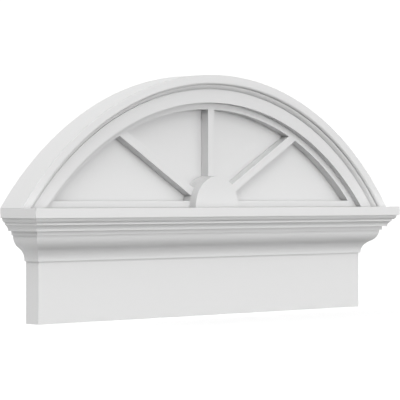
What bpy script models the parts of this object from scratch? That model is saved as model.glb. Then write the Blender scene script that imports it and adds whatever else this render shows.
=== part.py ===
"""Segmental door pediment with a sunburst, built up from boards and mouldings.

X runs along the wall, -Y out from the wall and Z up. The origin is the middle of the
frieze board's underside, and the pediment is symmetric about X = 0. The pieces are
placed from the wall plane, on an empty that stands there. All sizes are in metres.
"""
import math

import bmesh
import bpy
from mathutils import Vector

# Gap left between two pieces that touch
JOINT_GAP = 0.0003

# Frieze board, the flat board that sits on the door casing
FRIEZE_WIDTH = 1.074
FRIEZE_THICKNESS = 0.040
FRIEZE_EXPOSED = 0.134

# Crown moulding, from the cornice cap down: each drop is a height, each step goes back in
OVOLO_DROP = 0.0094
OVOLO_RUN = 0.0053
UPPER_FILLET_STEP = 0.0024
UPPER_FILLET_HEIGHT = 0.0052
COVE_STEP = 0.0015
COVE_DROP = 0.0130
COVE_RUN = 0.0076
LOWER_FILLET_STEP = 0.0094
LOWER_FILLET_HEIGHT = 0.0090
CYMA_STEP = 0.0044
CYMA_DROP = 0.0550
CYMA_RUN = 0.0331
CROWN_FOOT_HEIGHT = 0.0012
CROWN_FOOT_PROJECTION = 0.0037

# Cornice cap, the flat board on top of the crown
CAP_THICKNESS = 0.0214
CAP_NOSING = 0.0053

# Arch over the cap
ARCH_RISE = 0.304
FASCIA_WIDTH = 0.0162
ARCH_OVOLO_WIDTH = 0.0058
ARCH_OVOLO_DEPTH = 0.0064
ARCH_FILLET_WIDTH = 0.0056
ARCH_FILLET_FALL = 0.0016
ARCH_BEVEL_WIDTH = 0.0046
MOULDING_PROUD = 0.0142
BAND_WIDTH = 0.0306
BAND_THICKNESS = 0.0145

# Tympanum panel and the sunburst board in front of it
PANEL_THICKNESS = 0.019
SUNBURST_THICKNESS = 0.0215
INNER_BAND_WIDTH = 0.0152
RAIL_HEIGHT = 0.0150
SPOKE_WIDTH = 0.0206
SPOKE_SPREAD = math.radians(60.0)
SPOKE_COUNT = 3
HUB_RADIUS = 0.0722
HUB_THICKNESS = 0.0193

# Facets on the curved stretches, and the bend below which two facets are shaded as one surface
ARCH_SEGMENTS = 60
HUB_SEGMENTS = 24
MOULDING_STEPS = 5
SMOOTH_BELOW = math.radians(25.0)

# Painted white plastic board
BOARD_WHITE = (0.86, 0.86, 0.85)
MOULDING_WHITE = (0.88, 0.88, 0.87)
BOARD_ROUGHNESS = 0.45
MOULDING_ROUGHNESS = 0.38

# Sizes that follow from the ones above
CROWN_HEIGHT = (
    OVOLO_DROP + UPPER_FILLET_HEIGHT + COVE_DROP + LOWER_FILLET_HEIGHT + CYMA_DROP + CROWN_FOOT_HEIGHT
)
CROWN_PROJECTION = (
    CROWN_FOOT_PROJECTION + CYMA_RUN + CYMA_STEP + LOWER_FILLET_STEP
    + COVE_RUN + COVE_STEP + UPPER_FILLET_STEP + OVOLO_RUN
)
FRIEZE_HEIGHT = FRIEZE_EXPOSED + CROWN_HEIGHT
CAP_BOTTOM = FRIEZE_HEIGHT + JOINT_GAP
CAP_TOP = CAP_BOTTOM + CAP_THICKNESS
CAP_OVERHANG = CROWN_PROJECTION + CAP_NOSING
CAP_WIDTH = FRIEZE_WIDTH + 2 * CAP_OVERHANG
CAP_DEPTH = FRIEZE_THICKNESS + CAP_OVERHANG
ARCH_RADIUS = ((CAP_WIDTH / 2) ** 2 + ARCH_RISE**2) / (2 * ARCH_RISE)
ARCH_CENTRE = CAP_TOP + ARCH_RISE - ARCH_RADIUS
ARCH_FOOT = CAP_TOP + JOINT_GAP
MOULDING_WIDTH = FASCIA_WIDTH + ARCH_OVOLO_WIDTH + ARCH_FILLET_WIDTH + ARCH_BEVEL_WIDTH
MOULDING_INNER_RADIUS = ARCH_RADIUS - MOULDING_WIDTH
STACK_RADIUS = MOULDING_INNER_RADIUS - JOINT_GAP
BAND_INNER_RADIUS = MOULDING_INNER_RADIUS - BAND_WIDTH
SUNBURST_INNER_RADIUS = BAND_INNER_RADIUS - INNER_BAND_WIDTH
SUNBURST_BACK = PANEL_THICKNESS + JOINT_GAP
SUNBURST_FRONT = SUNBURST_BACK + SUNBURST_THICKNESS
BAND_BACK = SUNBURST_FRONT + JOINT_GAP
BAND_FRONT = BAND_BACK + BAND_THICKNESS
MOULDING_DEPTH = BAND_FRONT + MOULDING_PROUD


def painted_finish(name, colour, roughness):
    """A painted plastic surface of one colour."""
    material = bpy.data.materials.new(name)
    material.use_nodes = True
    shader = material.node_tree.nodes["Principled BSDF"]
    shader.inputs["Base Color"].default_value = (*colour, 1.0)
    shader.inputs["Roughness"].default_value = roughness
    shader.inputs["Metallic"].default_value = 0.0
    return material


def finished_piece(name, bm, place, finish, turn=0.0):
    """Make an object of the mesh and put it in its place on the wall plane's empty."""
    bmesh.ops.recalc_face_normals(bm, faces=bm.faces)
    mesh = bpy.data.meshes.new(name)
    bm.to_mesh(mesh)
    bm.free()
    mesh.shade_smooth()
    mesh.set_sharp_from_angle(angle=SMOOTH_BELOW)
    mesh.materials.append(painted_finish(f"{name}_white", *finish))
    piece = bpy.data.objects.new(name, mesh)
    piece.parent = bpy.data.objects["wall_plane"]
    piece.location = place
    piece.rotation_euler.z = turn
    bpy.context.scene.collection.objects.link(piece)
    return piece


def board(name, size, place, finish):
    """A square-edged board, placed by its centre."""
    bm = bmesh.new()
    bmesh.ops.create_cube(bm, size=1.0)
    bmesh.ops.scale(bm, vec=size, verts=bm.verts)
    return finished_piece(name, bm, place, finish)


def arc_leaving_down(start, end, steps):
    """Arc that leaves start straight down and reaches end; start is left out."""
    run = end[0] - start[0]
    drop = end[1] - start[1]
    turn = 2 * math.atan2(abs(run), abs(drop))
    radius = abs(drop) / math.sin(turn)
    side = math.copysign(1.0, run)
    sense = math.copysign(1.0, drop)
    points = []
    for step in range(1, steps + 1):
        angle = turn * step / steps
        points.append((
            start[0] + side * radius * (1 - math.cos(angle)),
            start[1] + sense * radius * math.sin(angle),
        ))
    return points


def arc_arriving_down(start, end, steps):
    """Arc that leaves start at a slant and reaches end straight down; start is left out."""
    backwards = [end] + arc_leaving_down(end, start, steps)
    return backwards[-2::-1]


def crown_profile():
    """Crown section as (projection, drop) points, from its top back corner round to the foot."""
    projection = CROWN_PROJECTION
    drop = 0.0
    points = [(JOINT_GAP, drop), (projection, drop)]

    def step_in(distance):
        points.append((points[-1][0] - distance, points[-1][1]))

    def fall(height):
        points.append((points[-1][0], points[-1][1] + height))

    corner = points[-1]
    points.extend(arc_leaving_down(corner, (corner[0] - OVOLO_RUN, corner[1] + OVOLO_DROP), MOULDING_STEPS))
    step_in(UPPER_FILLET_STEP)
    fall(UPPER_FILLET_HEIGHT)
    step_in(COVE_STEP)
    corner = points[-1]
    points.extend(arc_arriving_down(corner, (corner[0] - COVE_RUN, corner[1] + COVE_DROP), MOULDING_STEPS))
    step_in(LOWER_FILLET_STEP)
    fall(LOWER_FILLET_HEIGHT)
    step_in(CYMA_STEP)
    corner = points[-1]
    middle = (corner[0] - CYMA_RUN / 2, corner[1] + CYMA_DROP / 2)
    points.extend(arc_leaving_down(corner, middle, MOULDING_STEPS))
    foot = (corner[0] - CYMA_RUN, corner[1] + CYMA_DROP)
    points.extend(arc_arriving_down(middle, foot, MOULDING_STEPS))
    fall(CROWN_FOOT_HEIGHT)
    points.append((JOINT_GAP, points[-1][1]))
    return points


def crown_length(name, place, turn, left_end, right_end):
    """A length of crown moulding; each end is cut where its rule puts it for each projection."""
    bm = bmesh.new()
    section = [bm.verts.new((left_end(out), -out, -drop)) for out, drop in crown_profile()]
    start = bm.faces.new(section)
    grown = bmesh.ops.extrude_face_region(bm, geom=[start])["geom"]
    for vert in grown:
        if isinstance(vert, bmesh.types.BMVert):
            vert.co.x = right_end(-vert.co.y)
    return finished_piece(name, bm, place, (MOULDING_WHITE, MOULDING_ROUGHNESS), turn)


def crown():
    """Crown along the front, mitred at both corners to a short return that runs to the wall."""
    half = FRIEZE_WIDTH / 2
    mitre_gap = JOINT_GAP * math.sqrt(2)
    crown_length(
        "crown_front", (0, -FRIEZE_THICKNESS, FRIEZE_HEIGHT), 0.0,
        lambda out: -half - out, lambda out: half + out,
    )
    crown_length(
        "crown_return_left", (-half, 0, FRIEZE_HEIGHT), math.radians(-90.0),
        lambda out: 0.0, lambda out: FRIEZE_THICKNESS + out - mitre_gap,
    )
    crown_length(
        "crown_return_right", (half, 0, FRIEZE_HEIGHT), math.radians(90.0),
        lambda out: mitre_gap - FRIEZE_THICKNESS - out, lambda out: 0.0,
    )


def arched_strip(name, section, finish):
    """A (radius, depth) section swept over the arch, its feet cut level on the cap."""
    foot = ARCH_FOOT - ARCH_CENTRE
    spare_reach = math.radians(2.0)
    reach = math.acos(foot / max(radius for radius, depth in section)) + spare_reach
    bm = bmesh.new()
    start = bm.faces.new([
        bm.verts.new((-radius * math.sin(reach), -depth, radius * math.cos(reach)))
        for radius, depth in section
    ])
    bmesh.ops.spin(
        bm, geom=[start], cent=(0, 0, 0), axis=(0, 1, 0), angle=2 * reach, steps=ARCH_SEGMENTS,
    )
    cut = bmesh.ops.bisect_plane(
        bm, geom=bm.verts[:] + bm.edges[:] + bm.faces[:],
        plane_co=(0, 0, foot), plane_no=(0, 0, -1), clear_outer=True,
    )["geom_cut"]
    bmesh.ops.edgenet_fill(bm, edges=[part for part in cut if isinstance(part, bmesh.types.BMEdge)])
    return finished_piece(name, bm, (0, 0, ARCH_CENTRE), finish)


def arch_moulding():
    """Moulding round the arch: flat fascia, ovolo, sloping fillet and a bevel down to the band's face."""
    ovolo_start = ARCH_RADIUS - FASCIA_WIDTH
    fillet_depth = MOULDING_DEPTH - ARCH_OVOLO_DEPTH
    section = [(ARCH_RADIUS, 0.0), (ARCH_RADIUS, MOULDING_DEPTH), (ovolo_start, MOULDING_DEPTH)]
    for step in range(1, MOULDING_STEPS + 1):
        angle = math.pi / 2 * step / MOULDING_STEPS
        section.append((
            ovolo_start - ARCH_OVOLO_WIDTH * math.sin(angle),
            fillet_depth + ARCH_OVOLO_DEPTH * math.cos(angle),
        ))
    section.append((MOULDING_INNER_RADIUS + ARCH_BEVEL_WIDTH, fillet_depth - ARCH_FILLET_FALL))
    section.append((MOULDING_INNER_RADIUS, BAND_FRONT))
    section.append((MOULDING_INNER_RADIUS, 0.0))
    arched_strip("arch_moulding", section, (MOULDING_WHITE, MOULDING_ROUGHNESS))


def arch_band():
    """Wide flat band inside the moulding, glued on the sunburst board."""
    section = [
        (STACK_RADIUS, BAND_BACK), (STACK_RADIUS, BAND_FRONT),
        (BAND_INNER_RADIUS, BAND_FRONT), (BAND_INNER_RADIUS, BAND_BACK),
    ]
    arched_strip("arch_band", section, (BOARD_WHITE, BOARD_ROUGHNESS))


def arc_points(centre, radius, first, last, steps):
    """Points on an arc about centre, from angle first to angle last, both ends included."""
    return [
        centre + radius * Vector((math.cos(angle), math.sin(angle)))
        for angle in (first + (last - first) * step / steps for step in range(steps + 1))
    ]


def segment_outline(radius):
    """Outline of the arch's inside at a radius, closed along the cap."""
    centre = Vector((0, ARCH_CENTRE))
    rise = math.asin((ARCH_FOOT - ARCH_CENTRE) / radius)
    return arc_points(centre, radius, rise, math.pi - rise, ARCH_SEGMENTS)


def ray_meets_circle(heading, offset, centre, radius):
    """Where a line beside a ray from the hub's centre leaves a circle round another centre."""
    along = Vector((math.cos(heading), math.sin(heading)))
    across = Vector((-along.y, along.x))
    start = Vector((0, CAP_TOP)) + across * offset - centre
    reach = -start.dot(along) + math.sqrt(start.dot(along) ** 2 - start.length_squared + radius**2)
    return centre + start + along * reach


def angle_about(point, centre):
    return math.atan2(point.y - centre.y, point.x - centre.x)


def sunburst_opening(first, second):
    """Outline of the opening between two rays, each given as (heading, offset of its edge)."""
    hub = Vector((0, CAP_TOP))
    arch = Vector((0, ARCH_CENTRE))
    inner = [angle_about(ray_meets_circle(*ray, hub, HUB_RADIUS), hub) for ray in (first, second)]
    outer = [
        angle_about(ray_meets_circle(*ray, arch, SUNBURST_INNER_RADIUS), arch)
        for ray in (first, second)
    ]
    steps = max(4, ARCH_SEGMENTS // (SPOKE_COUNT + 1))
    hub_steps = max(3, HUB_SEGMENTS // (SPOKE_COUNT + 1))
    outline = arc_points(arch, SUNBURST_INNER_RADIUS, outer[0], outer[1], steps)
    outline += arc_points(hub, HUB_RADIUS, inner[1], inner[0], hub_steps)
    return outline


def flat_piece(name, outlines, back, front, finish):
    """A board cut to the first outline, with the others as openings through it."""
    bm = bmesh.new()
    for outline in outlines:
        verts = [bm.verts.new((point.x, -back, point.y)) for point in outline]
        for vert, following in zip(verts, verts[1:] + verts[:1]):
            bm.edges.new((vert, following))
    bmesh.ops.triangle_fill(bm, use_beauty=True, edges=bm.edges)
    grown = bmesh.ops.extrude_face_region(bm, geom=bm.faces[:])["geom"]
    moved = [part for part in grown if isinstance(part, bmesh.types.BMVert)]
    bmesh.ops.translate(bm, vec=(0, back - front, 0), verts=moved)
    return finished_piece(name, bm, (0, 0, 0), finish)


def tympanum():
    """Plain panel that fills the arch, and the sunburst board cut from one sheet in front of it."""
    flat_piece(
        "tympanum_panel", [segment_outline(STACK_RADIUS)], 0.0, PANEL_THICKNESS,
        (BOARD_WHITE, BOARD_ROUGHNESS),
    )
    headings = [
        math.pi / 2 + SPOKE_SPREAD * (index - (SPOKE_COUNT - 1) / 2) for index in range(SPOKE_COUNT)
    ]
    edges = [(0.0, RAIL_HEIGHT)]
    for heading in headings:
        edges += [(heading, -SPOKE_WIDTH / 2), (heading, SPOKE_WIDTH / 2)]
    edges.append((math.pi, -RAIL_HEIGHT))
    openings = [sunburst_opening(*pair) for pair in zip(edges[0::2], edges[1::2])]
    flat_piece(
        "sunburst_board", [segment_outline(STACK_RADIUS)] + openings, SUNBURST_BACK, SUNBURST_FRONT,
        (BOARD_WHITE, BOARD_ROUGHNESS),
    )


def hub():
    """Half disc glued over the middle of the sunburst board."""
    rise = math.asin(JOINT_GAP / HUB_RADIUS)
    outline = arc_points(Vector((0, CAP_TOP)), HUB_RADIUS, rise, math.pi - rise, HUB_SEGMENTS)
    back = SUNBURST_FRONT + JOINT_GAP
    flat_piece("sunburst_hub", [outline], back, back + HUB_THICKNESS, (BOARD_WHITE, BOARD_ROUGHNESS))


def build():
    """Clear the scene and build every piece."""
    for old in list(bpy.data.objects):
        bpy.data.objects.remove(old)
    wall_plane = bpy.data.objects.new("wall_plane", None)
    wall_plane.location.y = FRIEZE_THICKNESS / 2
    bpy.context.scene.collection.objects.link(wall_plane)
    board(
        "frieze_board", (FRIEZE_WIDTH, FRIEZE_THICKNESS, FRIEZE_HEIGHT),
        (0, -FRIEZE_THICKNESS / 2, FRIEZE_HEIGHT / 2), (BOARD_WHITE, BOARD_ROUGHNESS),
    )
    crown()
    board(
        "cornice_cap", (CAP_WIDTH, CAP_DEPTH, CAP_THICKNESS),
        (0, -CAP_DEPTH / 2, CAP_BOTTOM + CAP_THICKNESS / 2), (BOARD_WHITE, BOARD_ROUGHNESS),
    )
    tympanum()
    arch_band()
    arch_moulding()
    hub()


build()
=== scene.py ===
"""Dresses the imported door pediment: boards and mouldings with eased edges, white paint, and a pale stage."""
import math

import bmesh
import bpy
from bpy.props import FloatProperty, FloatVectorProperty, IntProperty, PointerProperty
from bpy.types import Operator, Panel, PropertyGroup
from mathutils import Matrix, Vector


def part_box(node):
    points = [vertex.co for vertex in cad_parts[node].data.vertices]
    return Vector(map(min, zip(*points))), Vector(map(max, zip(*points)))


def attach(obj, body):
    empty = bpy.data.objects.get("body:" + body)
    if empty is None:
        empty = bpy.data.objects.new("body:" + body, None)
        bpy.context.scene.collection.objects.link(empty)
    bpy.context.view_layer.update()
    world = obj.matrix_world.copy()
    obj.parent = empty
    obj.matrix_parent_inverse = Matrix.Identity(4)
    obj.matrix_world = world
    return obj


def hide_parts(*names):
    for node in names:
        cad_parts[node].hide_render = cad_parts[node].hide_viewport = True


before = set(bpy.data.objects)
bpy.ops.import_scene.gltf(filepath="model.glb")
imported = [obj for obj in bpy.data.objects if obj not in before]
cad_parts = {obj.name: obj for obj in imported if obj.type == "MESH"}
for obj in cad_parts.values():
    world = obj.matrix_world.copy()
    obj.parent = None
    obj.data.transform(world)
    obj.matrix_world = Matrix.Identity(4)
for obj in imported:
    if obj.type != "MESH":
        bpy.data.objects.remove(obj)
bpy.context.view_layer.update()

bl_info = {
    "name": "Door Pediment",
    "version": (1, 0, 0),
    "blender": (4, 5, 0),
    "location": "View3D > Sidebar > Pediment",
    "description": "Builds a segmental door pediment with a sunburst round its packed solids",
    "category": "Add Mesh",
}

BODY = "root"

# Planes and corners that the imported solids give
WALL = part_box("frieze_board")[1].y
FRIEZE_LOW, FRIEZE_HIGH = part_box("frieze_board")
CAP_LOW, CAP_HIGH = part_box("cornice_cap")
CROWN_LOW, CROWN_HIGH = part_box("crown_front")
ARCH_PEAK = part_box("arch_moulding")[1].z
ARCH_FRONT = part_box("arch_moulding")[0].y
PANEL_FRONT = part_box("tympanum_panel")[0].y
SUNBURST_LOW, SUNBURST_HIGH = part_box("sunburst_board")
BAND_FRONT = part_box("arch_band")[0].y
HUB_LOW, HUB_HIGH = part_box("sunburst_hub")

# The arch is the circle through both ends of the cap and the peak
ARCH_RISE = ARCH_PEAK - CAP_HIGH.z
ARCH_RADIUS = (CAP_HIGH.x**2 + ARCH_RISE**2) / (2 * ARCH_RISE)
ARCH_CENTRE = Vector((0, 0, ARCH_PEAK - ARCH_RADIUS))
LINING_RADIUS = SUNBURST_HIGH.z - ARCH_CENTRE.z

# How finely curves are cut
ARCH_STEPS = 192
OPENING_STEPS = 48
HUB_STEPS = 48
CURVE_STEPS = 12
EASING_STEPS = 2

# Edges sharper than the first angle are eased, and edges flatter than the second look smooth
ARRIS_ANGLE = math.radians(40)
SMOOTH_BELOW = math.radians(50)

# Extra length that is sawn off, the distance at which corners are joined, and the gap to the floor
SPARE = 0.02
WELD = 1e-6
FLOOR_GAP = 1e-6

# How close together the paint's marks are; streaks are long along a piece and fine across it
DRIFT_SCALE = 3.2
STREAK_ALONG = 5.0
STREAK_ACROSS = 260.0
STIPPLE_SCALE = 900.0
CELL_SCALE = 1400.0

# How far the marks change the tone of paint and of bare board
MOTTLE_TONE = 2.0
STREAK_TONE = 0.016
STIPPLE_TONE = 0.010
BARE_DRIFT_TONE = 0.05
BARE_CELL_TONE = 0.10
BARE_STREAK_TONE = 0.06

# How far the marks change the paint's roughness, and how rough bare board is
DRIFT_SHEEN = 0.08
STREAK_SHEEN = 0.10
STIPPLE_SHEEN = 0.05
BARE_ROUGHNESS = 0.72
CELL_ROUGHNESS = 0.12

# How high the marks stand, and how strongly that shows
STREAK_HEIGHT = 0.5
CELL_HEIGHT = 1.5
BUMP_STRENGTH = 0.30
BUMP_HEIGHT = 0.00008

# The paint's gloss, and the planes near the wall where it gives way to bare board
PAINT_IOR = 1.46
PAINT_SPECULAR = 0.25
PAINT_ENDS = WALL - 0.0006
BARE_BEGINS = WALL - 0.0002

# The studio: the floor's roughness, the white that the camera sees, and the camera's sensor
FLOOR_ROUGHNESS = 0.9
BACKDROP = 1.1
SENSOR_WIDTH = 36.0


def length(name, description, default):
    """A size in metres."""
    return FloatProperty(
        name=name, description=description, default=default, min=0.0, precision=4,
        subtype="DISTANCE", unit="LENGTH",
    )


def share(name, description, default):
    """A plain number from 0 to 1."""
    return FloatProperty(
        name=name, description=description, default=default, min=0.0, max=1.0, subtype="FACTOR",
    )


def light(name, description, default):
    """Strength of a light."""
    return FloatProperty(name=name, description=description, default=default, min=0.0, precision=3)


def colour(name, description, default):
    """A linear colour."""
    return FloatVectorProperty(
        name=name, description=description, default=default, size=3, min=0.0, max=1.0, subtype="COLOR",
    )


class PedimentJoinery(PropertyGroup):
    """Edges and joints that every board and moulding shares."""

    board_easing: length("Board easing", "Radius sanded on a board's edges", 0.0007)
    moulding_easing: length("Moulding easing", "Radius of a moulding's sharp edges under the paint", 0.00015)
    hairline: length("Hairline", "Gap that still shows where two pieces are glued", 0.00004)


class PedimentCrown(PropertyGroup):
    """Section of the crown moulding, from the cap down; the cyma takes what is left."""

    ovolo_drop: length("Ovolo drop", "Height of the top ovolo", 0.0094)
    ovolo_run: length("Ovolo run", "How far the top ovolo goes in", 0.0053)
    upper_fillet_step: length("Upper fillet step", "Step in above the upper fillet", 0.0024)
    upper_fillet_height: length("Upper fillet height", "Height of the upper fillet", 0.0052)
    cove_step: length("Cove step", "Step in above the cove", 0.0015)
    cove_drop: length("Cove drop", "Height of the cove", 0.0130)
    cove_run: length("Cove run", "How far the cove goes in", 0.0076)
    lower_fillet_step: length("Lower fillet step", "Step in above the lower fillet", 0.0094)
    lower_fillet_height: length("Lower fillet height", "Height of the lower fillet", 0.0090)
    cyma_step: length("Cyma step", "Step in above the cyma", 0.0044)
    foot_height: length("Foot height", "Height of the flat foot", 0.0012)
    foot_projection: length("Foot projection", "How far the foot stands off the frieze", 0.0037)


class PedimentArch(PropertyGroup):
    """Sizes of the arch's layers and of the sunburst inside it."""

    fascia_width: length("Fascia width", "Flat outer face of the arch moulding", 0.0162)
    ovolo_width: length("Ovolo width", "Width of the ovolo inside the fascia", 0.0058)
    ovolo_depth: length("Ovolo depth", "How far the ovolo goes back", 0.0064)
    fillet_width: length("Fillet width", "Width of the sloping fillet inside the ovolo", 0.0056)
    fillet_fall: length("Fillet fall", "How far the fillet slopes back", 0.0016)
    quirk_width: length("Quirk width", "Width of the sunk lines beside the fillet and the bevel", 0.0009)
    quirk_depth: length("Quirk depth", "Depth of those sunk lines", 0.0018)
    band_width: length("Band width", "Width of the flat band inside the moulding", 0.0306)
    inner_band_width: length("Inner band width", "Width of the thin band in the sunburst's plane", 0.0152)
    rail_height: length("Rail height", "Height of the rail on the cap", 0.0150)
    spoke_width: length("Spoke width", "Width of each spoke", 0.0206)
    spoke_spread: FloatProperty(
        name="Spoke spread", description="Angle from one spoke to the next",
        default=math.radians(60), min=0.0, max=math.pi, subtype="ANGLE", unit="ROTATION",
    )
    spoke_count: IntProperty(name="Spokes", description="Number of spokes", default=3, min=1, max=9)


class PedimentPaint(PropertyGroup):
    """Colours and surface of the painted boards and their bare backs; the boards' whites differ by place, as
    painted light on the frieze and cap and painted shade in the arch, with the mouldings' white between.
    """

    # The outer white is lighter than the real paint: painted light on the frontmost boards.
    lit_outer_colour: colour("Outer colour", "Paint on the frieze and the cap", (0.905, 0.905, 0.903))
    # The inner white is darker than the real paint: painted shade on the boards sunk in the arch.
    shaded_inner_colour: colour("Inner colour", "Paint on the sheltered boards in the arch", (0.838, 0.838, 0.838))
    moulding_colour: colour("Moulding colour", "Paint on the mouldings", (0.885, 0.885, 0.884))
    bare_colour: colour("Bare colour", "Unpainted board at the back", (0.53, 0.52, 0.495))
    board_roughness: share("Board roughness", "Sheen of the flat boards", 0.55)
    moulding_roughness: share("Moulding roughness", "Sheen of the mouldings", 0.50)
    mottle: share("Mottle", "How far the paint's tone drifts over a board", 0.012)
    streak: share("Streak", "Strength of the fine marks along a length", 0.12)
    stipple: share("Stipple", "Strength of the roller's fine stipple", 0.35)


class PedimentStage(PropertyGroup):
    """Camera, floor and light."""

    heading: FloatProperty(
        name="Heading", description="Direction the camera looks in, clockwise from straight at the wall",
        default=math.radians(46.52), subtype="ANGLE", unit="ROTATION",
    )
    dip: FloatProperty(
        name="Dip", description="How far the camera looks down",
        default=math.radians(0.054), subtype="ANGLE", unit="ROTATION",
    )
    distance: length("Distance", "From the camera to the pediment's middle", 5.006)
    eye_height: length("Eye height", "Height of the camera above the frieze's foot", 0.270)
    sideways: FloatProperty(
        name="Sideways", description="How far the camera's aim passes left of the pediment's middle",
        default=0.0108, precision=4, subtype="DISTANCE", unit="LENGTH",
    )
    focal_length: FloatProperty(
        name="Focal length", description="Lens, on a sensor 36 mm wide", default=194.5, min=1.0,
        subtype="DISTANCE_CAMERA",
    )
    floor_colour: colour("Floor colour", "Pale floor", (0.90, 0.90, 0.90))
    floor_glow: share("Floor glow", "Light that the white floor gives of itself", 0.5)
    floor_size: length("Floor size", "Side of the floor", 60.0)
    front_light: light("Front light", "Light from straight in front", 12.5)
    key_light: light("Key light", "Light from above, on the left", 1.92)
    near_key_light: light("Near key light", "Light from above, nearer the front", 1.69)
    high_light: light("High light", "Light from high above the front", 1.09)
    fill_light: light("Fill light", "Light from the right", 1.95)
    low_light: light("Low light", "Weak light from below the front", 0.15)
    back_light: light("Back light", "Broad light from behind", 1.93)
    bounces: IntProperty(name="Bounces", description="How often soft light is passed on", default=1, min=0)


class Signal:
    """A shader socket; arithmetic on signals adds Math nodes."""

    def __init__(self, shader, socket):
        self.shader = shader
        self.socket = socket

    def maths(self, operation, *operands):
        return self.shader.node("ShaderNodeMath", {"operation": operation}, dict(enumerate(operands)))

    def __add__(self, other):
        return self.maths("ADD", self, other)

    def __radd__(self, other):
        return self.maths("ADD", other, self)

    def __sub__(self, other):
        return self.maths("SUBTRACT", self, other)

    def __rsub__(self, other):
        return self.maths("SUBTRACT", other, self)

    def __mul__(self, other):
        return self.maths("MULTIPLY", self, other)

    def __pow__(self, other):
        return self.maths("POWER", self, other)

    def above(self, limit):
        return self.maths("MAXIMUM", self, limit)

    def angle_to(self, other):
        return self.maths("ARCTAN2", self, other)


class Shader:
    """A node tree that is filled through one method."""

    def __init__(self, owner):
        owner.use_nodes = True
        self.tree = owner.node_tree
        self.tree.nodes.clear()

    def node(self, kind, settings=None, inputs=None, output=0):
        """Add a node with its settings, then its sockets' values or links, and give one output."""
        node = self.tree.nodes.new(kind)
        for name, value in (settings or {}).items():
            setattr(node, name, value)
        for key, value in (inputs or {}).items():
            if isinstance(value, Signal):
                self.tree.links.new(value.socket, node.inputs[key])
            else:
                node.inputs[key].default_value = value
        return Signal(self, node.outputs[output]) if node.outputs else node

    def vector(self, x, y, z):
        return self.node("ShaderNodeCombineXYZ", inputs={"X": x, "Y": y, "Z": z})

    def parts(self, vector):
        """The three numbers of a vector."""
        split = self.node("ShaderNodeSeparateXYZ", inputs={0: vector})
        return [Signal(self, socket) for socket in split.socket.node.outputs]

    def noise(self, vector, scale, detail, roughness=0.5):
        """Noise about zero, from minus a half to a half."""
        return self.node(
            "ShaderNodeTexNoise", {"noise_dimensions": "3D"},
            {"Vector": vector, "Scale": scale, "Detail": detail, "Roughness": roughness},
        ) - 0.5

    def ramp(self, value, start, end):
        """0 below start, 1 above end, smooth between."""
        return self.node(
            "ShaderNodeMapRange", {"interpolation_type": "SMOOTHSTEP"},
            {"Value": value, "From Min": start, "From Max": end, "To Min": 0.0, "To Max": 1.0},
        )

    def toned(self, rgb, tone):
        """A colour made lighter or darker by a signal about 1."""
        return self.node("ShaderNodeVectorMath", {"operation": "SCALE"}, {0: rgb, "Scale": tone})

    def blend(self, mask, first, second):
        """A colour that goes from first to second with the mask."""
        return self.node(
            "ShaderNodeMix", {"data_type": "RGBA", "blend_type": "MIX"},
            {0: mask, 6: first, 7: second}, output=2,
        )


def opaque(rgb):
    """A colour with full alpha."""
    return (*rgb, 1.0)


def straight_marks(shader, place):
    """Coordinates whose first axis runs along a straight piece."""
    return shader.parts(place)


def cross_marks(shader, place):
    """Coordinates whose first axis runs from the wall to the front."""
    x, y, z = shader.parts(place)
    return y, x, z


def arched_marks(shader, place):
    """Coordinates whose first axis runs along the arch."""
    x, y, z = shader.parts(place)
    rise = z - ARCH_CENTRE.z
    radius = (x * x + rise * rise) ** 0.5
    return x.angle_to(rise) * ARCH_RADIUS, y, radius


def paint(name, rgb, roughness, marks):
    """White paint over cellular board: a drifting tone, streaks along the length and a fine stipple."""
    looks = bpy.context.scene.pediment_paint
    material = bpy.data.materials.new(name)
    shader = Shader(material)
    place = shader.node("ShaderNodeTexCoord", output="Object")
    along, across, over = marks(shader, place)
    stretched = shader.vector(along * STREAK_ALONG, across * STREAK_ACROSS, over * STREAK_ACROSS)

    drift = shader.noise(place, DRIFT_SCALE, detail=3.0)
    streaks = shader.noise(stretched, 1.0, detail=3.0)
    stipple = shader.noise(place, STIPPLE_SCALE, detail=2.0, roughness=0.6)
    cells = shader.noise(place, CELL_SCALE, detail=1.0)

    depth = shader.parts(place)[1]
    bare = shader.ramp(depth, PAINT_ENDS, BARE_BEGINS)
    tone = 1.0 + drift * (MOTTLE_TONE * looks.mottle)
    tone = tone + streaks * (STREAK_TONE * looks.streak) + stipple * (STIPPLE_TONE * looks.stipple)
    bare_tone = 1.0 + drift * BARE_DRIFT_TONE + cells * BARE_CELL_TONE + streaks * BARE_STREAK_TONE
    painted = shader.toned(rgb, tone)
    raw = shader.toned(tuple(looks.bare_colour), bare_tone)

    sheen = roughness + drift * DRIFT_SHEEN
    sheen = sheen + streaks * (STREAK_SHEEN * looks.streak) + stipple * STIPPLE_SHEEN
    dull = BARE_ROUGHNESS + cells * CELL_ROUGHNESS
    height = streaks * (STREAK_HEIGHT * looks.streak) + stipple * looks.stipple + bare * cells * CELL_HEIGHT
    bump = shader.node(
        "ShaderNodeBump", inputs={"Strength": BUMP_STRENGTH, "Distance": BUMP_HEIGHT, "Height": height},
    )
    surface = shader.node(
        "ShaderNodeBsdfPrincipled",
        inputs={
            "Base Color": shader.blend(bare, painted, raw),
            "Roughness": sheen * (1 - bare) + dull * bare,
            "Metallic": 0.0,
            "IOR": PAINT_IOR,
            "Specular IOR Level": PAINT_SPECULAR,
            "Normal": bump,
        },
    )
    shader.node("ShaderNodeOutputMaterial", inputs={"Surface": surface})
    return material


def lit_outer_paint(name, marks=straight_marks):
    """Paint of the frieze and the cap, made lighter than the real white as painted light on the frontmost
    boards.
    """
    looks = bpy.context.scene.pediment_paint
    return paint(name, tuple(looks.lit_outer_colour), looks.board_roughness, marks)


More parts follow.
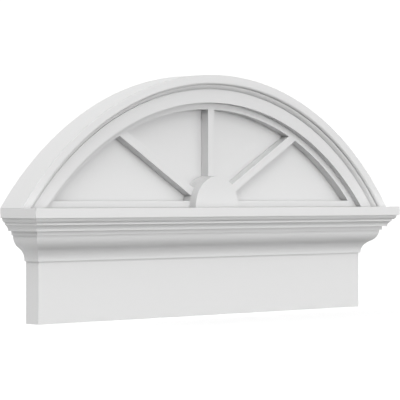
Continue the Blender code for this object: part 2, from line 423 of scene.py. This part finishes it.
def shaded_inner_paint(name, marks=straight_marks):
    """Paint of the boards inside the arch, made darker than the real white as painted shade in the recess."""
    looks = bpy.context.scene.pediment_paint
    return paint(name, tuple(looks.shaded_inner_colour), looks.board_roughness, marks)


def moulding_paint(name, marks=straight_marks):
    """Paint of the crown and the arch moulding."""
    looks = bpy.context.scene.pediment_paint
    return paint(name, tuple(looks.moulding_colour), looks.moulding_roughness, marks)


class OutlinePen:
    """Draws an outline in a mesh by lines and arcs, from point to point."""

    def __init__(self, bm, start):
        self.bm = bm
        self.first = bm.verts.new(start)
        self.tip = self.first

    def line(self, point):
        """Draw to a point."""
        vert = self.bm.verts.new(point)
        self.bm.edges.new((self.tip, vert))
        self.tip = vert

    def shift(self, *step):
        """Draw by a step."""
        self.line(self.tip.co + Vector(step))

    def arc(self, centre, axis, angle, steps=CURVE_STEPS, flatten=(1, 1, 1)):
        """Turn the tip about a centre; flatten then scales the arc about it."""
        swung = bmesh.ops.spin(self.bm, geom=[self.tip], cent=centre, axis=axis, angle=angle, steps=steps)
        chain = [self.tip]
        self.bm.verts.ensure_lookup_table()
        chain += self.bm.verts[-steps:]
        bmesh.ops.scale(self.bm, vec=flatten, space=Matrix.Translation(-Vector(centre)), verts=chain[1:])
        self.tip = next(part for part in swung["geom_last"] if isinstance(part, bmesh.types.BMVert))

    def close(self):
        """Join the tip to the start."""
        self.bm.edges.new((self.tip, self.first))

    def fill(self):
        """Close the outline and make it a face."""
        self.close()
        return bmesh.ops.contextual_create(self.bm, geom=self.bm.edges[:])["faces"][0]


def ease_edges(bm, radius):
    """Round every sharp outward edge."""
    bmesh.ops.recalc_face_normals(bm, faces=bm.faces)
    arrises = [
        edge for edge in bm.edges
        if edge.is_manifold and edge.is_convex and edge.calc_face_angle() > ARRIS_ANGLE
    ]
    bmesh.ops.bevel(
        bm, geom=arrises, offset=radius, offset_type="OFFSET", segments=EASING_STEPS, profile=0.5,
        affect="EDGES", clamp_overlap=True, material=-1,
    )


def saw(bm, point, away):
    """Cut the mesh on a plane, drop what lies on the side of away, and fill the cut."""
    cut = bmesh.ops.bisect_plane(
        bm, geom=bm.verts[:] + bm.edges[:] + bm.faces[:], plane_co=point, plane_no=away, clear_outer=True,
    )["geom_cut"]
    bmesh.ops.edgenet_fill(bm, edges=[part for part in cut if isinstance(part, bmesh.types.BMEdge)])


def thicken(bm, faces, step):
    """Extrude faces straight by a step."""
    grown = bmesh.ops.extrude_face_region(bm, geom=faces)["geom"]
    bmesh.ops.translate(bm, vec=step, verts=[part for part in grown if isinstance(part, bmesh.types.BMVert)])


def place_piece(node, bm, material):
    """Make the mesh a piece that rides on the pediment and stands for its solid."""
    bmesh.ops.remove_doubles(bm, verts=bm.verts, dist=WELD)
    bmesh.ops.recalc_face_normals(bm, faces=bm.faces)
    mesh = bpy.data.meshes.new(f"{node}_painted")
    bm.to_mesh(mesh)
    bm.free()
    mesh.shade_smooth()
    mesh.set_sharp_from_angle(angle=SMOOTH_BELOW)
    mesh.materials.append(material)
    piece = bpy.data.objects.new(f"{node}_painted", mesh)
    bpy.context.scene.collection.objects.link(piece)
    weighted = piece.modifiers.new("Flat faces stay flat", "WEIGHTED_NORMAL")
    weighted.keep_sharp = True
    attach(piece, BODY)
    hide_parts(node)


def board(node, low, high):
    """A square-edged board between two corners, with eased edges."""
    joinery = bpy.context.scene.pediment_joinery
    bm = bmesh.new()
    bmesh.ops.create_cube(bm, size=1.0)
    bmesh.ops.scale(bm, vec=high - low, verts=bm.verts)
    bmesh.ops.translate(bm, vec=(low + high) / 2, verts=bm.verts)
    ease_edges(bm, joinery.board_easing)
    # The frieze and the cap take the lightened outer white: painted light.
    place_piece(node, bm, lit_outer_paint(f"{node}_paint"))


def bend(run, drop):
    """Angle and radius of an arc that starts or ends upright and covers a run and a drop."""
    angle = 2 * math.atan2(run, drop)
    return angle, drop / math.sin(angle)


def crown_section(bm):
    """Section of the crown in the plane X = 0, with the frieze's front at Y = 0 and the cap at Z = 0."""
    sizes = bpy.context.scene.pediment_crown
    height = CROWN_HIGH.z - CROWN_LOW.z
    projection = FRIEZE_LOW.y - CROWN_LOW.y
    cyma_run = projection - sizes.foot_projection - (
        sizes.ovolo_run + sizes.upper_fillet_step + sizes.cove_step + sizes.cove_run
        + sizes.lower_fillet_step + sizes.cyma_step
    )
    cyma_drop = height - sizes.foot_height - (
        sizes.ovolo_drop + sizes.upper_fillet_height + sizes.cove_drop + sizes.lower_fillet_height
    )
    hairline = bpy.context.scene.pediment_joinery.hairline
    pen = OutlinePen(bm, (0, -hairline, 0))
    pen.line((0, -projection, 0))

    def hollow_out(run, drop):
        """Arc that starts upright and bends in towards the wall."""
        angle, radius = bend(run, drop)
        pen.arc(pen.tip.co + Vector((0, radius, 0)), (1, 0, 0), angle)

    def hollow_in(run, drop):
        """Arc that starts at a slant and ends upright."""
        angle, radius = bend(run, drop)
        end = pen.tip.co + Vector((0, run, -drop))
        pen.arc(end + Vector((0, -radius, 0)), (1, 0, 0), -angle)

    hollow_out(sizes.ovolo_run, sizes.ovolo_drop)
    pen.shift(0, sizes.upper_fillet_step, 0)
    pen.shift(0, 0, -sizes.upper_fillet_height)
    pen.shift(0, sizes.cove_step, 0)
    hollow_in(sizes.cove_run, sizes.cove_drop)
    pen.shift(0, sizes.lower_fillet_step, 0)
    pen.shift(0, 0, -sizes.lower_fillet_height)
    pen.shift(0, sizes.cyma_step, 0)
    hollow_out(cyma_run / 2, cyma_drop / 2)
    hollow_in(cyma_run / 2, cyma_drop / 2)
    pen.shift(0, 0, -sizes.foot_height)
    pen.line((0, -hairline, -height))
    return pen.fill()


def crown_run(node, reach, turn, corner, cuts):
    """A straight run of crown, turned and put on its corner of the frieze, then sawn on its planes."""
    joinery = bpy.context.scene.pediment_joinery
    bm = bmesh.new()
    section = crown_section(bm)
    bmesh.ops.translate(bm, vec=(-reach, 0, 0), verts=bm.verts)
    thicken(bm, [section], (2 * reach, 0, 0))
    ease_edges(bm, joinery.moulding_easing)
    bmesh.ops.rotate(bm, cent=(0, 0, 0), matrix=Matrix.Rotation(turn, 3, "Z"), verts=bm.verts)
    bmesh.ops.translate(bm, vec=corner, verts=bm.verts)
    for point, away in cuts:
        saw(bm, point, away)
    marks = cross_marks if turn else straight_marks
    place_piece(node, bm, moulding_paint(f"{node}_paint", marks))


class PEDIMENT_OT_frieze_board(Operator):
    """Make the flat frieze board"""

    bl_idname = "pediment.frieze_board"
    bl_label = "Frieze Board"

    def execute(self, context):
        board("frieze_board", FRIEZE_LOW, FRIEZE_HIGH)
        return {"FINISHED"}


class PEDIMENT_OT_crown(Operator):
    """Make the crown moulding along the front and its two returns"""

    bl_idname = "pediment.crown"
    bl_label = "Crown Moulding"

    def execute(self, context):
        hairline = context.scene.pediment_joinery.hairline
        top = CAP_LOW.z - hairline
        front = FRIEZE_LOW.y
        half = FRIEZE_HIGH.x
        left, right = Vector((-half, front, 0)), Vector((half, front, 0))
        clearance = Vector((0, hairline, 0))
        depth = CAP_HIGH.y - CAP_LOW.y + SPARE
        to_left, to_right = Vector((-1, 1, 0)), Vector((1, 1, 0))
        reach = CAP_HIGH.x + SPARE
        crown_run("crown_front", reach, 0.0, Vector((0, front, top)), [(left, to_left), (right, to_right)])
        for node, side, corner, away in (
            ("crown_return_left", -1, left, -to_left), ("crown_return_right", 1, right, -to_right),
        ):
            cuts = [(corner + clearance, away), (Vector((0, WALL, 0)), Vector((0, 1, 0)))]
            crown_run(node, depth, side * math.pi / 2, Vector((side * half, 0, top)), cuts)
        return {"FINISHED"}


class PEDIMENT_OT_cornice_cap(Operator):
    """Make the flat cap on top of the crown"""

    bl_idname = "pediment.cornice_cap"
    bl_label = "Cornice Cap"

    def execute(self, context):
        board("cornice_cap", CAP_LOW, CAP_HIGH)
        return {"FINISHED"}


def around(centre, radius, angle, depth):
    """Point on a circle in an upright plane; the angle is clockwise from the top."""
    return Vector((centre.x + radius * math.sin(angle), depth, centre.z + radius * math.cos(angle)))


def arch_sweep(node, draw_section, material):
    """Sweep a section round the arch, ease its edges and saw its feet level with the cap."""
    joinery = bpy.context.scene.pediment_joinery
    bm = bmesh.new()
    section = draw_section(bm)
    foot = CAP_HIGH.z + joinery.hairline
    reach = math.acos((foot - ARCH_CENTRE.z) / ARCH_RADIUS) + SPARE / ARCH_RADIUS
    bmesh.ops.rotate(bm, cent=ARCH_CENTRE, matrix=Matrix.Rotation(-reach, 3, "Y"), verts=bm.verts)
    bmesh.ops.spin(
        bm, geom=[section], cent=ARCH_CENTRE, axis=(0, 1, 0), angle=2 * reach, steps=ARCH_STEPS,
    )
    ease_edges(bm, joinery.moulding_easing)
    saw(bm, Vector((0, 0, foot)), Vector((0, 0, -1)))
    place_piece(node, bm, material)


def moulding_section(bm):
    """Fascia, ovolo, sloping fillet and bevel of the arch, with a sunk line beside each of the last two."""
    sizes = bpy.context.scene.pediment_arch
    fascia_end = ARCH_PEAK - sizes.fascia_width
    fillet_start = fascia_end - sizes.ovolo_width
    fillet_plane = ARCH_FRONT + sizes.ovolo_depth
    inner_side = ARCH_CENTRE.z + LINING_RADIUS + bpy.context.scene.pediment_joinery.hairline
    pen = OutlinePen(bm, (0, WALL, ARCH_PEAK))
    pen.line((0, ARCH_FRONT, ARCH_PEAK))
    pen.line((0, ARCH_FRONT, fascia_end))
    pen.arc(
        (0, fillet_plane, fascia_end), (1, 0, 0), math.pi / 2,
        flatten=(1, 1, sizes.ovolo_width / sizes.ovolo_depth),
    )
    pen.line((0, fillet_plane + sizes.quirk_depth, fillet_start))
    pen.shift(0, 0, -sizes.quirk_width)
    pen.shift(0, -sizes.quirk_depth, 0)
    pen.line((0, fillet_plane + sizes.fillet_fall, fillet_start - sizes.fillet_width))
    pen.line((0, BAND_FRONT, inner_side + sizes.quirk_width))
    pen.shift(0, sizes.quirk_depth, 0)
    pen.line((0, BAND_FRONT + sizes.quirk_depth, inner_side))
    pen.line((0, WALL, inner_side))
    return pen.fill()


def band_section(bm):
    """Square section of the wide band, drawn at the top of the arch."""
    sizes = bpy.context.scene.pediment_arch
    hairline = bpy.context.scene.pediment_joinery.hairline
    outer = ARCH_CENTRE.z + LINING_RADIUS
    inner = outer - sizes.band_width
    back = SUNBURST_LOW.y - hairline
    pen = OutlinePen(bm, (0, back, outer))
    pen.line((0, BAND_FRONT, outer))
    pen.line((0, BAND_FRONT, inner))
    pen.line((0, back, inner))
    return pen.fill()


class PEDIMENT_OT_arch(Operator):
    """Make the arch moulding and the flat band inside it"""

    bl_idname = "pediment.arch"
    bl_label = "Arch"

    def execute(self, context):
        white = moulding_paint("arch_moulding_paint", arched_marks)
        arch_sweep("arch_moulding", moulding_section, white)
        # The band takes the darkened inner white: painted shade.
        white = shaded_inner_paint("arch_band_paint", arched_marks)
        arch_sweep("arch_band", band_section, white)
        return {"FINISHED"}


def lining_outline(bm, depth):
    """Outline of the space under the arch moulding, standing on the cap."""
    foot = CAP_HIGH.z + bpy.context.scene.pediment_joinery.hairline
    reach = math.acos((foot - ARCH_CENTRE.z) / LINING_RADIUS)
    pen = OutlinePen(bm, around(ARCH_CENTRE, LINING_RADIUS, -reach, depth))
    pen.arc(ARCH_CENTRE, (0, 1, 0), 2 * reach, ARCH_STEPS)
    return pen


def edge_of_ray(heading, offset, centre, radius, depth):
    """Where a line beside a ray from the hub's middle leaves a circle; the heading is clockwise from up."""
    along = Vector((math.sin(heading), 0, math.cos(heading)))
    across = Vector((along.z, 0, -along.x))
    start = Vector((0, 0, CAP_HIGH.z)) + across * offset - centre
    reach = -start.dot(along) + math.sqrt(start.dot(along) ** 2 - start.length_squared + radius**2)
    point = centre + start + along * reach
    return Vector((point.x, depth, point.z))


def bearing(point, centre):
    """Angle of a point about a centre, clockwise from the top."""
    return math.atan2(point.x - centre.x, point.z - centre.z)


def sunburst_opening(bm, first, second, depth):
    """Outline of one opening between two rays, each a heading and the offset of its edge."""
    sizes = bpy.context.scene.pediment_arch
    hub = Vector((0, 0, CAP_HIGH.z))
    hub_radius = HUB_HIGH.x
    outer_radius = LINING_RADIUS - sizes.band_width - sizes.inner_band_width
    outer = [edge_of_ray(*ray, ARCH_CENTRE, outer_radius, depth) for ray in (first, second)]
    inner = [edge_of_ray(*ray, hub, hub_radius, depth) for ray in (first, second)]
    pen = OutlinePen(bm, outer[0])
    swing = bearing(outer[1], ARCH_CENTRE) - bearing(outer[0], ARCH_CENTRE)
    pen.arc(ARCH_CENTRE, (0, 1, 0), swing, OPENING_STEPS)
    pen.line(inner[1])
    swing = bearing(inner[0], hub) - bearing(inner[1], hub)
    pen.arc(hub, (0, 1, 0), swing, CURVE_STEPS)
    pen.close()


class PEDIMENT_OT_tympanum(Operator):
    """Make the plain panel and the sunburst board in front of it"""

    bl_idname = "pediment.tympanum"
    bl_label = "Tympanum"

    def execute(self, context):
        joinery = context.scene.pediment_joinery
        bm = bmesh.new()
        panel = lining_outline(bm, WALL).fill()
        thicken(bm, [panel], (0, PANEL_FRONT - WALL, 0))
        ease_edges(bm, joinery.board_easing)
        # The panel takes the darkened inner white: painted shade.
        place_piece("tympanum_panel", bm, shaded_inner_paint("tympanum_panel_paint"))

        sizes = context.scene.pediment_arch
        bm = bmesh.new()
        back = PANEL_FRONT - joinery.hairline
        lining_outline(bm, back).close()
        middle = (sizes.spoke_count - 1) / 2
        headings = [(index - middle) * sizes.spoke_spread for index in range(sizes.spoke_count)]
        rays = [(-math.pi / 2, sizes.rail_height)]
        for heading in headings:
            rays += [(heading, -sizes.spoke_width / 2), (heading, sizes.spoke_width / 2)]
        rays.append((math.pi / 2, -sizes.rail_height))
        for first, second in zip(rays[0::2], rays[1::2]):
            sunburst_opening(bm, first, second, back)
        bmesh.ops.triangle_fill(bm, use_beauty=True, use_dissolve=True, edges=bm.edges)
        thicken(bm, bm.faces[:], (0, SUNBURST_LOW.y - back, 0))
        ease_edges(bm, joinery.board_easing)
        # The sunburst board takes the darkened inner white: painted shade.
        place_piece("sunburst_board", bm, shaded_inner_paint("sunburst_board_paint"))
        return {"FINISHED"}


class PEDIMENT_OT_hub(Operator):
    """Make the half disc in the middle of the sunburst"""

    bl_idname = "pediment.hub"
    bl_label = "Hub"

    def execute(self, context):
        joinery = context.scene.pediment_joinery
        centre = Vector((0, 0, CAP_HIGH.z))
        back = SUNBURST_LOW.y - joinery.hairline
        reach = math.acos(joinery.hairline / HUB_HIGH.x)
        bm = bmesh.new()
        pen = OutlinePen(bm, around(centre, HUB_HIGH.x, -reach, back))
        pen.arc(centre, (0, 1, 0), 2 * reach, HUB_STEPS)
        disc = pen.fill()
        thicken(bm, [disc], (0, HUB_LOW.y - back, 0))
        ease_edges(bm, joinery.board_easing)
        # The hub takes the darkened inner white: painted shade.
        place_piece("sunburst_hub", bm, shaded_inner_paint("sunburst_hub_paint"))
        return {"FINISHED"}


# Where each soft light stands, and how narrow it is
FRONT = (Vector((0, -1, 0.03)), 64)
KEY = (Vector((-1, -1, 1)), 16)
NEAR_KEY = (Vector((-0.5, -0.6, 0.6)), 16)
HIGH = (Vector((-0.2, -0.5, 0.85)), 16)
FILL = (Vector((1, -1, 0)), 16)
LOW = (Vector((0, -1, -1)), 16)
BACK = (Vector((0, 1, 0)), 1)


class PEDIMENT_OT_stage(Operator):
    """Make the floor, the soft light and the camera"""

    bl_idname = "pediment.stage"
    bl_label = "Stage"

    def execute(self, context):
        self.make_floor(context.scene)
        self.make_light(context.scene)
        self.make_camera(context.scene)
        return {"FINISHED"}

    def make_floor(self, scene):
        """A pale floor that glows a little, as a white sweep does under studio light."""
        stage = scene.pediment_stage
        bm = bmesh.new()
        bmesh.ops.create_grid(bm, x_segments=1, y_segments=1, size=stage.floor_size / 2)
        bmesh.ops.translate(bm, vec=(0, 0, FRIEZE_LOW.z - FLOOR_GAP), verts=bm.verts)
        mesh = bpy.data.meshes.new("floor")
        bm.to_mesh(mesh)
        bm.free()
        material = bpy.data.materials.new("floor_white")
        shader = Shader(material)
        surface = shader.node(
            "ShaderNodeBsdfPrincipled",
            inputs={
                "Base Color": opaque(stage.floor_colour),
                "Roughness": FLOOR_ROUGHNESS,
                "Specular IOR Level": 0.0,
                "Emission Color": opaque(stage.floor_colour),
                "Emission Strength": stage.floor_glow,
            },
        )
        shader.node("ShaderNodeOutputMaterial", inputs={"Surface": surface})
        mesh.materials.append(material)
        floor = bpy.data.objects.new("floor", mesh)
        floor.visible_diffuse = False
        floor.visible_glossy = False
        floor.visible_shadow = False
        scene.collection.objects.link(floor)

    def make_light(self, scene):
        """A studio dome of soft lights; the camera sees plain white behind the pediment."""
        stage = scene.pediment_stage
        world = bpy.data.worlds.new("studio")
        scene.world = world
        shader = Shader(world)
        x, y, z = shader.parts(shader.node("ShaderNodeTexCoord", output="Generated"))
        lights = (
            (FRONT, stage.front_light),
            (KEY, stage.key_light),
            (NEAR_KEY, stage.near_key_light),
            (HIGH, stage.high_light),
            (FILL, stage.fill_light),
            (LOW, stage.low_light),
            (BACK, stage.back_light),
        )
        glow = 0.0
        for (direction, narrowness), strength in lights:
            aim = direction.normalized()
            towards = x * aim.x + y * aim.y + z * aim.z
            glow = glow + towards.above(0.0) ** narrowness * strength
        dome = shader.node("ShaderNodeBackground", inputs={"Color": (1, 1, 1, 1), "Strength": glow})
        white = shader.node("ShaderNodeBackground", inputs={"Color": (1, 1, 1, 1), "Strength": BACKDROP})
        seen = shader.node("ShaderNodeLightPath", output="Is Camera Ray")
        both = shader.node("ShaderNodeMixShader", inputs={0: seen, 1: dome, 2: white})
        shader.node("ShaderNodeOutputWorld", inputs={"Surface": both})
        scene.view_settings.view_transform = "Standard"
        scene.cycles.diffuse_bounces = stage.bounces

    def make_camera(self, scene):
        """A long lens, level with the arch's foot, from the left."""
        stage = scene.pediment_stage
        forward = Vector((math.sin(stage.heading), math.cos(stage.heading), 0))
        leftward = Vector((-forward.y, forward.x, 0))
        lens = bpy.data.cameras.new("camera")
        lens.sensor_fit = "HORIZONTAL"
        lens.sensor_width = SENSOR_WIDTH
        lens.lens = stage.focal_length
        camera = bpy.data.objects.new("camera", lens)
        camera.location = leftward * stage.sideways - forward * stage.distance
        camera.location.z = stage.eye_height
        camera.rotation_euler = (math.pi / 2 - stage.dip, 0, -stage.heading)
        scene.collection.objects.link(camera)
        scene.camera = camera


GROUPS = {
    "pediment_joinery": PedimentJoinery,
    "pediment_crown": PedimentCrown,
    "pediment_arch": PedimentArch,
    "pediment_paint": PedimentPaint,
    "pediment_stage": PedimentStage,
}
OPERATORS = [
    PEDIMENT_OT_frieze_board, PEDIMENT_OT_crown, PEDIMENT_OT_cornice_cap, PEDIMENT_OT_tympanum,
    PEDIMENT_OT_arch, PEDIMENT_OT_hub, PEDIMENT_OT_stage,
]


class PEDIMENT_PT_sidebar(Panel):
    """Sizes, colours and steps of the pediment"""

    bl_label = "Pediment"
    bl_idname = "PEDIMENT_PT_sidebar"
    bl_space_type = "VIEW_3D"
    bl_region_type = "UI"
    bl_category = "Pediment"

    def draw(self, context):
        for name, group in GROUPS.items():
            box = self.layout.box()
            for field in group.__annotations__:
                box.prop(getattr(context.scene, name), field)
        for operator in OPERATORS:
            self.layout.operator(operator.bl_idname)


CLASSES = [*GROUPS.values(), *OPERATORS, PEDIMENT_PT_sidebar]


def register():
    for cls in CLASSES:
        bpy.utils.register_class(cls)
    for name, group in GROUPS.items():
        setattr(bpy.types.Scene, name, PointerProperty(type=group))


def unregister():
    for name in GROUPS:
        delattr(bpy.types.Scene, name)
    for cls in reversed(CLASSES):
        bpy.utils.unregister_class(cls)


def main():
    """Register the add-on, and make every piece and the stage."""
    register()
    bpy.ops.pediment.frieze_board()
    bpy.ops.pediment.crown()
    bpy.ops.pediment.cornice_cap()
    bpy.ops.pediment.tympanum()
    bpy.ops.pediment.arch()
    bpy.ops.pediment.hub()
    bpy.ops.pediment.stage()


if __name__ == "__main__":
    main()
